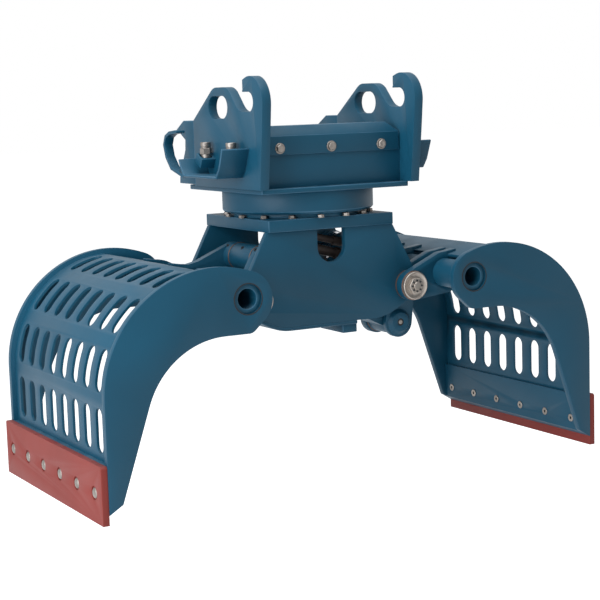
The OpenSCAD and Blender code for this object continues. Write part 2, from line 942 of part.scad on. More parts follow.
module drilled_edge_bar() {
    difference() {
        edge_bar();
        blade_holes();
    }
}

// Round-headed bolts through the blade and the edge bar, with flat socket nuts inside
module blade_bolt_row() {
    nut_h = 2;
    nut_r = 12.5;
    socket_r = 4.5;
    ball = (dome_r * dome_r + dome_h * dome_h) / 2 / dome_h;
    face = shell_out + blade_t - recess_t;
    back_face = shell_out - bar_t - nut_h;
    for (y = row(blade_bolts, bolt_pitch)) {
        translate([0, y, bolt_up]) rotate([0, 90, 0]) difference() {
            union() {
                translate([0, 0, back_face]) cylinder(r = bolt_r, h = face + 1 - back_face);
                translate([0, 0, back_face]) cylinder(r = nut_r, h = nut_h);
                intersection() {
                    translate([0, 0, face + dome_h - ball]) sphere(r = ball);
                    translate([0, 0, face]) cylinder(r = dome_r, h = dome_h + 1);
                }
            }
            translate([0, 0, back_face - 1]) cylinder(r = socket_r, h = 3 * nut_h + 1, $fn = 6);
        }
    }
}

// Pivot pin through body and lugs, with an end disc and a nut at each end
module pivot_pin() {
    half = lug_y + lug_t;
    cross_bar(pivot, pin_r, -half, 2 * half);
    front_and_back() {
        cross_bar(pivot, disc_r, -half - disc_t, disc_t);
        cross_bar(pivot, disc_r - 12, -half - disc_t - 6, 7);
        cross_bar(pivot, disc_r - 26, -half - disc_t - 10, 5);
    }
}

module left_front_side() {
    color(blue) mirror([1, 0, 0]) shell_side(-shell_len / 2);
}

module left_rear_side() {
    color(blue) mirror([1, 0, 0]) shell_side(shell_len / 2 - side_t);
}

module left_lower_plate() {
    color(blue) mirror([1, 0, 0]) lower_plate();
}

module left_back_plate() {
    color(blue) mirror([1, 0, 0]) back_plate();
}

module left_straight_plate() {
    color(blue) mirror([1, 0, 0]) straight_plate();
}

module left_top_plate() {
    color(blue) mirror([1, 0, 0]) top_plate();
}

module left_torque_tube() {
    color(blue) mirror([1, 0, 0]) torque_tube();
}

module left_lugs() {
    color(blue) mirror([1, 0, 0]) lugs();
}

// Upper levers of the left shell: a narrow one in front, a broad one behind with a long boss
module left_link_lever() {
    eye = [-eye_up.x, eye_up.y];
    color(blue) mirror([1, 0, 0]) {
        upright(lever_y, lug_t) difference() {
            lever_outline(eye, eye_r);
            translate(eye) circle(link_pin_r + fixed_gap);
        }
        upright(upper_back + boss_len - lug_t, lug_t) difference() {
            union() {
                lever_outline(eye, eye_r);
                difference() {
                    polygon([tube + [-10, wrap_r - 2], tube + [-wrap_r, 0], pivot, eye,
                        eye + [-0.62, 0.78] * -eye_r, eye + [0.5, 0.86] * eye_r,
                        tube + [-46, wrap_r + 6]]);
                    lug_holes();
                }
            }
            translate(eye) circle(link_pin_r + fixed_gap);
        }
        difference() {
            cross_bar(eye, eye_r, upper_back, boss_len - lug_t);
            cross_bar(eye, link_pin_r + fixed_gap, upper_back - 1, boss_len);
        }
    }
}

module left_link_pin() {
    color(steel) cross_bar(eye_up, link_pin_r, lever_y, upper_back + boss_len - lever_y);
}

module left_edge_bar() {
    color(blue) mirror([1, 0, 0]) drilled_edge_bar();
}

module left_blade() {
    color(blade_red) mirror([1, 0, 0]) blade();
}

module left_blade_bolts() {
    color(steel) mirror([1, 0, 0]) blade_bolt_row();
}

module left_pivot_pin() {
    color(steel) mirror([1, 0, 0]) pivot_pin();
}

module right_front_side() {
    color(blue) shell_side(-shell_len / 2);
}

module right_rear_side() {
    color(blue) shell_side(shell_len / 2 - side_t);
}

module right_lower_plate() {
    color(blue) lower_plate();
}

module right_back_plate() {
    color(blue) back_plate();
}

module right_straight_plate() {
    color(blue) straight_plate();
}

module right_top_plate() {
    color(blue) top_plate();
}

module right_torque_tube() {
    color(blue) torque_tube();
}

module right_lugs() {
    color(blue) lugs();
}

// Lower levers of the right shell, on both sides of the link's lower eye
module right_link_lever() {
    color(blue) upright(lower_back, lug_t) difference() {
        lever_outline(eye_low, low_eye_r);
        translate(eye_low) circle(link_pin_r + fixed_gap);
    }
    color(blue) difference() {
        upright(lever_y, lug_t) lever_outline(eye_low, low_eye_r);
        around_low_boss();
        cross_bar(eye_low, bolt_seat_r, lever_y - 1, lug_t);
        cross_bar(eye_low, link_pin_r + fixed_gap, lever_y + pin_seat, lug_t);
    }
}

// What is cut off the front lower lever round its tapered boss
module around_low_boss() {
    foot_r = low_eye_r - 8;
    difference() {
        cross_bar(eye_low, 2 * low_eye_r, lever_y - 1, low_boss + 1);
        translate([eye_low.x, lever_y, tube_h + eye_low.y]) rotate([-90, 0, 0])
            cylinder(r1 = foot_r - low_boss, r2 = foot_r, h = low_boss);
        cross_bar(pivot, norm(lever_low) - low_eye_r - 6, lever_y - 2, low_boss + 3);
    }
}

module right_cylinder_lever() {
    for (y0 = [cyl_y - cyl_half, cyl_y + cyl_half - lug_t]) {
        color(blue) upright(y0, lug_t) difference() {
            lever_outline(eye_cyl, eye_r);
            translate(eye_cyl) circle(link_pin_r + fixed_gap);
        }
    }
}

// Pin ends held in the right shell's levers. They stop at the faces of the eyes between them
module right_lever_pins() {
    color(steel) {
        cross_bar(eye_low, link_pin_r, lever_y + pin_seat, lug_t - pin_seat);
        cross_bar(eye_low, bolt_seat_r - 4, lever_y + 1, pin_seat - 1);
        cross_bar(eye_low, link_pin_r, lower_back, lug_t);
        cross_bar(eye_cyl, link_pin_r, cyl_y - cyl_half, lug_t);
        cross_bar(eye_cyl, link_pin_r, cyl_y + cyl_half - lug_t, lug_t);
    }
}

module right_edge_bar() {
    color(blue) drilled_edge_bar();
}

module right_blade() {
    color(blade_red) blade();
}

module right_blade_bolts() {
    color(steel) blade_bolt_row();
}

module right_pivot_pin() {
    color(steel) pivot_pin();
}

// Turns what lies along +X from a point so that it points to another one
module along(from, to) {
    way = to - from;
    translate([from.x, 0, tube_h + from.y]) rotate([0, -atan2(way.y, way.x), 0]) children();
}

// A round bar along Y in a piece's own frame
module own_bar(x, r, y0, len) {
    translate([x, y0 + len, 0]) rotate([90, 0, 0]) cylinder(r = r, h = len);
}

// Link that makes the shells move together
module sync_link() {
    len = norm(eye_low - eye_up);
    mid_y = link_y + low_eye_w / 2;
    solid_end = eye_r - 4;
    color(blue) along(eye_up, eye_low) difference() {
        union() {
            own_bar(0, eye_r, link_y, eye_w);
            own_bar(len, eye_r, link_y, low_eye_w);
            translate([solid_end, mid_y - link_w / 2, -link_h / 2])
                cube([len - 2 * solid_end, link_w, link_h]);
        }
        own_bar(0, link_pin_r + pin_gap, link_y - 1, eye_w + 2);
        translate([eye_r + link_wall, mid_y - link_w / 2 + link_wall, -link_h / 2 + link_wall])
            cube([len - 2 * (eye_r + link_wall), link_w - 2 * link_wall, link_h - 2 * link_wall]);
    }
}

module x_bar(x, r, len) {
    translate([x, 0, 0]) rotate([0, 90, 0]) cylinder(r = r, h = len);
}

module cylinder_barrel() {
    port_r = 13;
    color(blue) translate([0, cyl_y, 0]) along(anchor, eye_cyl) difference() {
        union() {
            own_bar(0, cyl_eye_r, -cyl_eye_w / 2, cyl_eye_w);
            x_bar(cyl_eye_r - 12, 24, cap_x - cyl_eye_r + 14);
            x_bar(cap_x, barrel_r, barrel_end - cap_x);
            for (x = [cap_x + cap_t + port_r, gland_x - port_r]) {
                translate([x, 0, barrel_bore + 2]) cylinder(r = port_r, h = barrel_wall + 12);
            }
        }
        own_bar(0, link_pin_r + pin_gap, -cyl_eye_w / 2 - 1, cyl_eye_w + 2);
        x_bar(cap_x + cap_t, barrel_bore, barrel_end);
    }
}

module cylinder_gland() {
    color(dark_steel) translate([0, cyl_y, 0]) along(anchor, eye_cyl) difference() {
        union() {
            x_bar(gland_x, barrel_bore, gland_in);
            x_bar(barrel_end, barrel_r - 4, gland_out);
        }
        x_bar(gland_x - 1, rod_r + pin_gap, gland_in + gland_out + 2);
    }
}

// Piston, rod and the eye that carries its own length of pin
module cylinder_rod() {
    color(steel) translate([0, cyl_y, 0]) along(anchor, eye_cyl) {
        x_bar(piston_x, barrel_bore - pin_gap, piston_t - 2);
        x_bar(piston_x, rod_r, rod_len - piston_x - cyl_eye_r + 8);
        own_bar(rod_len, cyl_eye_r, -cyl_eye_w / 2, cyl_eye_w);
    }
}

body_top_plate();
slew_fixed_ring();
slew_bolts();
body_front_plate();
body_rear_plate();
body_bottom_plate();
bottom_stop_block();
pivot_bushes();
cylinder_anchor_lugs();
cylinder_anchor_pin();
hose_manifold();
hose_pipes();
slew_turning_ring();
rotator_drum();
head_base_plate();
left_ear();
right_ear();
ear_front_plate();
head_hood();
hood_bolts();
ear_rear_plate();
wedge_lips();
left_tray();
right_tray();
coupling_brackets();
quick_couplings();
guard_bars();
left_front_side();
left_rear_side();
left_straight_plate();
left_lower_plate();
left_back_plate();
left_top_plate();
left_torque_tube();
left_lugs();
left_link_lever();
left_link_pin();
left_edge_bar();
left_blade();
left_blade_bolts();
left_pivot_pin();
right_front_side();
right_rear_side();
right_straight_plate();
right_lower_plate();
right_back_plate();
right_top_plate();
right_torque_tube();
right_lugs();
right_link_lever();
right_cylinder_lever();
right_lever_pins();
right_edge_bar();
right_blade();
right_blade_bolts();
right_pivot_pin();
sync_link();
cylinder_barrel();
cylinder_gland();
cylinder_rod();
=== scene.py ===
# %% [markdown]
# A sorting grapple hangs open, with its two cutting edges level. Its steelwork comes from the
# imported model. This script gives that steelwork broken edges and a finish, adds the small parts
# that repeat, such as bolts, seal rings and fittings, and then sets up light and camera.

# %% Load the steelwork
import json
import math

import bmesh
import bpy
from mathutils import Matrix, Vector


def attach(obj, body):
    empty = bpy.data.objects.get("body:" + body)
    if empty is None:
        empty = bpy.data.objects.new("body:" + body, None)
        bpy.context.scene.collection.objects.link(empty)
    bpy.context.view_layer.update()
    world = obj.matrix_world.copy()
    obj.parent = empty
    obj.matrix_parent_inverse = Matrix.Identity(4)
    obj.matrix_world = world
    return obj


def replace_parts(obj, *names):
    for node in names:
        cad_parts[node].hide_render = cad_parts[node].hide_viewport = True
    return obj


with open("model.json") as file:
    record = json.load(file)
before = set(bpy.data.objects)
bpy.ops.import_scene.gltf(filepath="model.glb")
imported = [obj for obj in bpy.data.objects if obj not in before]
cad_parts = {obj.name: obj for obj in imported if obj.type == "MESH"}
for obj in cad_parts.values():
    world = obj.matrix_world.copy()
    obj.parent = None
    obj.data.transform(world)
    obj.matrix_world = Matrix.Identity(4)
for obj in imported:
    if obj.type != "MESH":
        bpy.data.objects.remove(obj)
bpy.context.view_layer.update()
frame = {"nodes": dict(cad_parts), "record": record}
nodes = frame["nodes"]
record = frame["record"]
body_of_node = {n: b for b, names in record["behaviour"]["bodies"].items() for n in names}
slot_of_node = {s["node"]: s["material_slot"] for s in record["subparts"]}

# %% [markdown]
# The camera looks at the grapple from the front left, a little from above, through a long lens.
# It could be aimed with a constraint, but its place and turn were solved from the picture. So
# they are given as numbers: a yaw, a pitch and a small roll, and from these come the three
# directions of the camera's own axes.

# %% Camera
EYE = Vector((-2.41307, -4.35935, 1.16099))
YAW, PITCH, ROLL = -0.505095, 0.128875, -0.030852
LENS_PX = 1570.287
FRAME_PX = 600
SENSOR_MM = 36


def camera_axes(yaw, pitch, roll):
    """The camera's right, up and backward directions."""
    ahead = Vector((-math.sin(yaw) * math.cos(pitch), math.cos(yaw) * math.cos(pitch),
                    -math.sin(pitch)))
    right = ahead.cross(Vector((0, 0, 1))).normalized()
    up = right.cross(ahead)
    turned_right = math.cos(roll) * right + math.sin(roll) * up
    turned_up = math.cos(roll) * up - math.sin(roll) * right
    return turned_right, turned_up, -ahead


lens = bpy.data.cameras.new("photo_lens")
lens.sensor_width = SENSOR_MM
lens.lens = SENSOR_MM * LENS_PX / FRAME_PX
lens.clip_end = 200
camera = bpy.data.objects.new("photo_camera", lens)
bpy.context.scene.collection.objects.link(camera)
turn = Matrix([list(row) for row in zip(*camera_axes(YAW, PITCH, ROLL))]).to_4x4()
camera.matrix_world = Matrix.Translation(EYE) @ turn
bpy.context.scene.camera = camera
print("lens", round(lens.lens, 1), "mm")

# %% [markdown]
# Shader maths is easier to read as sums than as node after node. This class wraps a socket, so
# that `rough + 0.1 * patch` adds the Math nodes by itself. Every other node comes from its one
# method `node`, which takes the node's type, its settings and what its sockets get. Colours are
# written as they look on screen, from 0 to 255, and turned into the linear values of a shader.


# %% Sums with sockets
class Wire:
    def __init__(self, tree, socket=None):
        self.tree = tree
        self.socket = socket

    def node(self, kind, settings=None, sockets=None, out=0):
        made = self.tree.nodes.new(kind)
        for name, value in (settings or {}).items():
            if name == "stops":
                band = made.color_ramp
                while len(band.elements) < len(value):
                    band.elements.new(0.5)
                for stop, (place, shade) in zip(band.elements, value):
                    stop.position = place
                    stop.color = (shade, shade, shade, 1)
            else:
                setattr(made, name, value)
        for name, value in (sockets or {}).items():
            if isinstance(value, Wire):
                self.tree.links.new(value.socket, made.inputs[name])
            else:
                made.inputs[name].default_value = value
        return Wire(self.tree, made.outputs[out])

    def sum(self, operation, first, second):
        return self.node("ShaderNodeMath", {"operation": operation}, {0: first, 1: second})

    def __add__(self, other):
        return self.sum("ADD", self, other)

    def __radd__(self, other):
        return self.sum("ADD", other, self)

    def __mul__(self, other):
        return self.sum("MULTIPLY", self, other)

    def __rmul__(self, other):
        return self.sum("MULTIPLY", other, self)


def tint(red, green, blue):
    """Colour from its 0 to 255 values on screen."""
    def linear(level):
        level /= 255
        return level / 12.92 if level <= 0.04045 else ((level + 0.055) / 1.055) ** 2.4

    return (linear(red), linear(green), linear(blue), 1)


print("socket sums ready, mid grey is", round(tint(128, 128, 128)[0], 3))

# %% [markdown]
# Every finish starts the same way: a Principled shader and the piece's own coordinates, so that
# the pattern stays with the piece when it moves. Noise at several sizes gives the drift of
# colour, the fine grain and the rare scratch. Painted pictures would do as well, but noise needs
# no unwrapping and is sharp from any distance.


# %% Start of a finish
def start_finish(name):
    finish = bpy.data.materials.new(name)
    finish.use_nodes = True
    tree = finish.node_tree
    tree.nodes.clear()
    shader = tree.nodes.new("ShaderNodeBsdfPrincipled")
    result = tree.nodes.new("ShaderNodeOutputMaterial")
    tree.links.new(shader.outputs["BSDF"], result.inputs["Surface"])
    base = Wire(tree)
    place = base.node("ShaderNodeTexCoord", out="Object")
    return finish, shader, base, place


def noise(base, place, scale, detail=2.0, rough=0.5, stretch=None):
    if stretch:
        place = base.node("ShaderNodeMapping", None, {"Vector": place, "Scale": stretch})
    return base.node("ShaderNodeTexNoise", None,
                     {"Vector": place, "Scale": scale, "Detail": detail, "Roughness": rough})


def ramp(base, value, *stops):
    return base.node("ShaderNodeValToRGB", {"stops": stops}, {"Fac": value})


def fade(base, value, low, high):
    """0 up to the low value and 1 from the high one on."""
    return ramp(base, value, (low, 0.0), (high, 1.0))


def blend(base, mask, first, second):
    factor, colour_a, colour_b, colour_out = 0, 6, 7, 2
    return base.node("ShaderNodeMix", {"data_type": "RGBA"},
                     {factor: mask, colour_a: first, colour_b: second}, out=colour_out)


def bump(base, height, strength, distance):
    return base.node("ShaderNodeBump", None,
                     {"Height": height, "Strength": strength, "Distance": distance})


def feed(shader, name, wire):
    wire.tree.links.new(wire.socket, shader.inputs[name])


print("finish helpers ready")

# %% [markdown]
# The paint is a satin petrol blue, and the blades have a matt red primer. Sprayed paint on plate
# has a faint orange peel, drifts a little in tone, holds some dust on what faces up, and is painted
# paler in patches on its broken edges: partly worn thin, and partly a painted highlight along the
# edge. The edge faces carry the attribute `edge`, which the step that breaks the edges writes. An
# attribute was chosen instead of a curvature trick, because it marks just the ground edges.

# %% Paint on steel
DUST_TINT = tint(150, 152, 150)
DUST_SHARE, SCRATCH_SHARE, WORN_AND_HIGHLIT_SHARE = 0.16, 0.10, 0.42
DRIFT = (0.86, 1.14)
PAINT_SPECULAR = 0.32


def painted(name, colour, wear_and_highlight_colour, rough):
    finish, shader, base, place = start_finish(name)
    drift = noise(base, place, scale=2.3, detail=4.0)
    patch = noise(base, place, scale=14.0, detail=3.0)
    peel = noise(base, place, scale=420.0, detail=1.0)
    streaks = noise(base, place, scale=9.0, detail=6.0, rough=0.7, stretch=(1.0, 1.0, 14.0))
    scratch = fade(base, streaks, 0.70, 0.74)
    edge = base.node("ShaderNodeAttribute", {"attribute_name": "edge"}, out="Fac")
    facing = base.node("ShaderNodeTexCoord", out="Normal")
    up = base.node("ShaderNodeSeparateXYZ", None, {"Vector": facing}, out="Z")
    dust = fade(base, up, 0.55, 1.0) * fade(base, patch, 0.38, 0.72)
    dark, light = [tuple(min(1, share * c) for c in colour[:3]) + (1,) for share in DRIFT]
    tone = blend(base, fade(base, drift, 0.3, 0.7), dark, light)
    tone = blend(base, dust * DUST_SHARE, tone, DUST_TINT)
    tone = blend(base, scratch * SCRATCH_SHARE, tone, wear_and_highlight_colour)
    # Paler patches on the broken edges: worn paint, and a painted highlight along the edge.
    worn_and_highlit = edge * ramp(base, patch, (0.30, 0.35), (0.62, 1.0))
    tone = blend(base, worn_and_highlit * WORN_AND_HIGHLIT_SHARE, tone, wear_and_highlight_colour)
    feed(shader, "Base Color", tone)
    feed(shader, "Roughness", rough + 0.10 * patch + 0.14 * dust)
    feed(shader, "Normal", bump(base, peel + 1.6 * patch, strength=0.10, distance=0.0006))
    shader.inputs["Specular IOR Level"].default_value = PAINT_SPECULAR
    return finish


# Each paint's second colour is paler. It marks scratches and worn edges, and on the edges it is
# also a painted highlight.
blue_paint = painted("blue_paint_finish", tint(14, 76, 100), tint(92, 136, 164), rough=0.42)
red_paint = painted("red_primer_finish", tint(136, 54, 47), tint(150, 70, 62), rough=0.55)
print("paint:", blue_paint.name, red_paint.name)

# %% [markdown]
# Bare metal is told apart by its grain. Turned faces show fine rings and drawn bars show lines,
# cast or blackened parts are mottled, and a ground rod is smooth with faint rings round it. One
# function makes them all: the noise is stretched along the grain, and a darker tone shows
# through in clouds and specks. Rubber seals, the black discs and rings of painted shade in holes
# and gaps, and pipe sleeves use it too, with little or no metal in them.


# %% Bare metals
def metal(name, colour, dark, rough, grain_scale, stretch, metallic=1.0, mottle=0.5):
    finish, shader, base, place = start_finish(name)
    grain = noise(base, place, grain_scale, detail=3.0, rough=0.6, stretch=stretch)
    cloud = noise(base, place, scale=30.0, detail=4.0)
    speck = fade(base, noise(base, place, scale=160.0), 0.62, 0.70)
    tone = blend(base, fade(base, cloud, 0.35, 0.68) * mottle, colour, dark)
    tone = blend(base, speck * 0.25, tone, dark)
    feed(shader, "Base Color", tone)
    feed(shader, "Roughness", rough + 0.16 * grain + 0.10 * cloud)
    feed(shader, "Normal", bump(base, grain, strength=0.18, distance=0.0004))
    shader.inputs["Metallic"].default_value = metallic
    return finish


steel = metal("zinc_steel_finish", tint(150, 144, 138), tint(96, 90, 86),
              rough=0.36, grain_scale=240.0, stretch=(1.0, 1.0, 5.0))
dark_steel = metal("black_steel_finish", tint(84, 86, 88), tint(48, 49, 51),
                   rough=0.42, grain_scale=200.0, stretch=(1.0, 1.0, 3.0))
chrome = metal("rod_chrome_finish", tint(205, 206, 210), tint(170, 172, 178),
               rough=0.12, grain_scale=320.0, stretch=(6.0, 1.0, 1.0), mottle=0.3)
bronze = metal("greased_bronze_finish", tint(134, 104, 88), tint(84, 64, 54),
               rough=0.40, grain_scale=180.0, stretch=(1.0, 6.0, 1.0), metallic=0.75)
pin_steel = metal("worn_pin_finish", tint(176, 168, 160), tint(120, 112, 104),
                  rough=0.38, grain_scale=300.0, stretch=(1.0, 8.0, 1.0))
# Near black, for rubber seals and for the discs and rings that are painted shade in holes and gaps.
seal_black = metal("dark_seal_finish", tint(26, 30, 34), tint(16, 18, 20),
                   rough=0.6, grain_scale=150.0, stretch=(1.0, 1.0, 1.0), metallic=0.0)
hose_brown = metal("pipe_sleeve_finish", tint(82, 70, 64), tint(46, 40, 38),
                   rough=0.50, grain_scale=150.0, stretch=(5.0, 1.0, 1.0), metallic=0.15)
FINISH = {"blue_paint": blue_paint, "red_paint": red_paint, "steel": steel,
          "dark_steel": dark_steel, "rod_chrome": chrome, "bronze": bronze, "hose": hose_brown,
          "pin_steel": pin_steel, "seal_black": seal_black}
for node, slot in slot_of_node.items():
    nodes[node].data.materials.clear()
    nodes[node].data.materials.append(FINISH[slot])
print(len(FINISH), "finishes, set on", len(slot_of_node), "nodes")

# %% [markdown]
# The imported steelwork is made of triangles. A modifier that rounds edges needs whole faces, so
# each node is copied, its loose triangles are merged, and flat regions are dissolved.
#
# The perforated plate of a shell is packed as four strips. They are joined into one bent plate
# here: where two strips meet, each has an end face with the same corners, and both of these go.

# %% Whole faces
FLAT = math.radians(0.4)
WELD = 2e-6


def cleaned(node):
    """A node's shape with its triangles merged into whole faces."""
    shape = bmesh.new()
    shape.from_mesh(nodes[node].data)
    bmesh.ops.remove_doubles(shape, verts=shape.verts, dist=WELD)
    bmesh.ops.dissolve_degenerate(shape, edges=shape.edges, dist=WELD)
    bmesh.ops.dissolve_limit(shape, angle_limit=FLAT, verts=shape.verts, edges=shape.edges)
    mesh = bpy.data.meshes.new(node + "_clean")
    shape.to_mesh(mesh)
    shape.free()
    return mesh


def joined(parts, name):
    """One mesh of several nodes, without the faces on which they meet."""
    shape = bmesh.new()
    for node in parts:
        shape.from_mesh(cleaned(node))
    bmesh.ops.remove_doubles(shape, verts=shape.verts, dist=WELD)
    by_corners = {}
    for face in shape.faces:
        by_corners.setdefault(frozenset(face.verts), []).append(face)
    inner = [face for twins in by_corners.values() if len(twins) > 1 for face in twins]
    bmesh.ops.delete(shape, geom=inner, context="FACES_ONLY")
    mesh = bpy.data.meshes.new(name)
    shape.to_mesh(mesh)
    shape.free()
    if inner:
        print(name, "lost", len(inner), "inner faces")
    return mesh


print("faces are flat within", round(math.degrees(FLAT), 1), "degrees")

# %% [markdown]
# A piece is shaped on a work object that carries a modifier. Then the evaluated shape is taken
# off as an ordinary mesh, the work object goes, and the mesh is shown on its body. That way what
# is kept depends on no modifier. Only edges sharper than about thirty degrees stay sharp.

# %% Work objects
SHARP = math.radians(32)


def work_object(name, mesh):
    holder = bpy.data.objects.new(name + "_work", mesh)
    bpy.context.scene.collection.objects.link(holder)
    return holder


def taken_off(holder, name):
    """The evaluated shape of a work object as a mesh of its own."""
    scene_state = bpy.context.evaluated_depsgraph_get()
    mesh = bpy.data.meshes.new_from_object(holder.evaluated_get(scene_state))
    mesh.name = name
    holder.modifiers.clear()
    bpy.data.objects.remove(holder)
    return mesh


def show(mesh, name, body, slot):
    """A finished piece on its body, with its place in its mesh."""
    piece = bpy.data.objects.new(name, mesh)
    bpy.context.scene.collection.objects.link(piece)
    mesh.materials.clear()
    mesh.materials.append(FINISH[slot])
    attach(piece, body)
    return piece


print("edges stay sharp above", round(math.degrees(SHARP)), "degrees")

# %% [markdown]
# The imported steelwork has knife-sharp edges. On the real grapple each plate edge is broken by
# grinding, and in low light that thin bright line is what shows the plate's thickness. A Bevel
# modifier breaks the edges. The faces that it makes go into the second material slot, from where
# they are written to the attribute `edge`.

# %% Broken edges
EDGE = {"blue_paint": 0.0022, "red_paint": 0.0045}
STRIPS = ("straight_plate", "lower_plate", "back_plate", "top_plate")


def broken_edges(name, parts, width):
    slot = slot_of_node[parts[0]]
    holder = work_object(name, joined(parts, name))
    flat_slot, edge_slot = 0, 1
    holder.data.materials.clear()
    for _ in (flat_slot, edge_slot):
        holder.data.materials.append(FINISH[slot])
    for face in holder.data.polygons:
        face.material_index = flat_slot
    bevel = holder.modifiers.new("broken_edge", "BEVEL")
    bevel.width = width
    bevel.segments = 2
    bevel.limit_method = "ANGLE"
    bevel.angle_limit = SHARP
    bevel.use_clamp_overlap = True
    bevel.material = edge_slot
    bevel.harden_normals = False
    mesh = taken_off(holder, name)
    mark = mesh.attributes.new("edge", "FLOAT", "FACE")
    on_edge = [float(face.material_index == edge_slot) for face in mesh.polygons]
    mark.data.foreach_set("value", on_edge)
    for face in mesh.polygons:
        face.material_index = flat_slot
    mesh.set_sharp_from_angle(angle=SHARP)
    mesh.polygons.foreach_set("use_smooth", [True] * len(mesh.polygons))
    piece = show(mesh, name, body_of_node[parts[0]], slot)
    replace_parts(piece, *parts)
    return piece


bent = {side + "_bent_plate": [side + "_" + strip for strip in STRIPS]
        for side in ("left", "right")}
in_strips = [node for parts in bent.values() for node in parts]
alone = {node + "_edged": [node] for node, slot in slot_of_node.items()
         if slot in EDGE and node not in in_strips}
edged = [broken_edges(name, parts, EDGE[slot_of_node[parts[0]]])
         for name, parts in {**alone, **bent}.items()]
print(len(edged), "painted pieces with broken edges,",
      sum(len(piece.data.polygons) for piece in edged), "faces")

# %% [markdown]
# Bolt heads, discs, rings and fittings are all turned parts. A Screw modifier could turn them,
# but a few lines of bmesh keep each outline readable. It is a half outline in millimetres, from
# the lower end of the axis to the upper one, with a number of sides: many sides make a round
# body, six make a hexagon.

# %% Turned parts
MM_PER_M = 1000


def turned(shape, outline, sides):
    rings = []
    for radius, height in outline:
        z = height / MM_PER_M
        if radius == 0:
            rings.append([shape.verts.new((0, 0, z))] * sides)
        else:
            turns = [2 * math.pi * i / sides for i in range(sides)]
            rings.append([shape.verts.new((radius * math.cos(a) / MM_PER_M,
                                           radius * math.sin(a) / MM_PER_M, z)) for a in turns])
    for low, high in zip(rings, rings[1:]):
        for i in range(sides):
            j = (i + 1) % sides
            shape.faces.new(list(dict.fromkeys((low[i], low[j], high[j], high[i]))))


def part(name, *bodies):
    """An object that is only placed by the trees below, made of one or more turned bodies."""
    shape = bmesh.new()
    for outline, sides in bodies:
        turned(shape, outline, sides)
    mesh = bpy.data.meshes.new(name)
    shape.to_mesh(mesh)
    shape.free()
    return bpy.data.objects.new(name, mesh)


def washer(radius, height):
    """A disc with both its edges broken."""
    low, high = 0.5, 0.6
    return [(0, 0), (radius - low, 0), (radius, low), (radius, height - high),
            (radius - high, height), (0, height)], 32


def hexagon(radius, base, top):
    """A bolt head or a nut, with a chamfer and a shallow dish in its face."""
    chamfer_in, chamfer_down, dish = 1.9, 1.6, 0.5
    return [(0, base), (radius, base), (radius, top - chamfer_down), (radius - chamfer_in, top),
            (radius * 0.4, top), (radius * 0.32, top - dish), (0, top - dish)], 6


SLEW_BOLT = part("slew_bolt", washer(11.6, 2), hexagon(10, 1.8, 10))
HOOD_BOLT = part("hood_bolt", washer(16.5, 2.4), hexagon(13.2, 2.2, 9))
BLADE_BOLT = part(
    "blade_bolt",
    ([(0, 8), (4.4, 8), (4.4, 0.5), (4.9, 0), (11.6, 0), (12.5, 0.9), (12.5, 2), (10, 2),
      (10, 49), (15.4, 49), (16, 49.6), (15.6, 51), (14, 52.9), (11.4, 54.5), (7.6, 55.6),
      (3.8, 56), (0, 56)], 40))
print("bolts:", SLEW_BOLT.name, HOOD_BOLT.name, BLADE_BOLT.name)

# %% [markdown]
# The shell's pin is the largest turned part. It has the same end twice, so one half outline is
# written and the other is its mirror image.

# %% Pins, fittings and seals
PIN_END = [(44, 240), (44, 250.6), (42.8, 252), (40.6, 252), (38.8, 250.4), (33, 247.6),
           (28.6, 247.2), (28, 250), (0, 250)]
PIN_NUT = hexagon(27, 249, 257.6)
PIN_CAP = [(0, 257), (12.4, 257), (12.4, 260.8), (11.2, 262), (0, 262)]


def mirrored(outline):
    return [(radius, -height) for radius, height in reversed(outline)]


PIN = part("pivot_pin", ([*mirrored(PIN_END), (30, -240), (30, 240), *PIN_END], 64),
           PIN_NUT, (mirrored(PIN_NUT[0]), 6), (PIN_CAP, 32), (mirrored(PIN_CAP), 32))
PIN_SCREW = part(
    "pin_screw", ([(0, 0), (3.3, 0), (3.3, 2.2), (2.7, 2.8), (1.6, 2.8), (1.5, 1.2), (0, 1.2)], 16))
# A grease nipple on a black disc, which is painted shade of the hole round it.
GREASE_NIPPLE_AND_HOLE_SHADE = part(
    "grease_point", ([(0, -3), (6.4, -3), (6.4, 0.4), (5.8, 0.8), (5.2, 0.4), (0, 0.4)], 24),
    ([(0, 0), (2, 0), (2, 2.4), (2.6, 3), (1.9, 4.4), (0, 4.8)], 16))
COUPLING = part(
    "coupling", ([(0, 0), (14.4, 0), (15, 0.6), (15, 10.5), (14, 11.2), (14, 13), (0, 13)], 40),
    hexagon(18.4, 12, 30),
    ([(0, 29), (14.6, 29), (14.6, 31), (15.4, 31.6), (15.4, 33), (14.6, 33.6), (14.6, 35),
      (16, 35.8), (16, 46.4), (15, 47.6), (12.4, 48), (11.2, 47), (10.8, 39), (0, 39)], 40),
    ([(0, 38.5), (5.4, 38.5), (5.4, 43), (3.6, 45.6), (0, 46.4)], 24))
RIM_SEAL = part(
    "rim_seal", ([(44, -0.4), (45.8, -0.4), (46.4, 0.2), (46.2, 1.4), (45.2, 1.8), (44, 1.4),
                  (44, -0.4)], 64))
EYE_SEAL = part(
    "eye_seal", ([(41, 0.4), (43, 0.4), (43.6, 1.2), (43.6, 3), (43, 3.8), (41, 3.8),
                  (41, 0.4)], 64))
# A thin black ring, painted shade of the gap where a torque tube comes through its side plate.
TUBE_GAP_SHADE = part(
    "tube_seal", ([(43.6, -0.6), (46.6, -0.6), (46.6, 0.3), (43.6, 0.3), (43.6, -0.6)], 64))
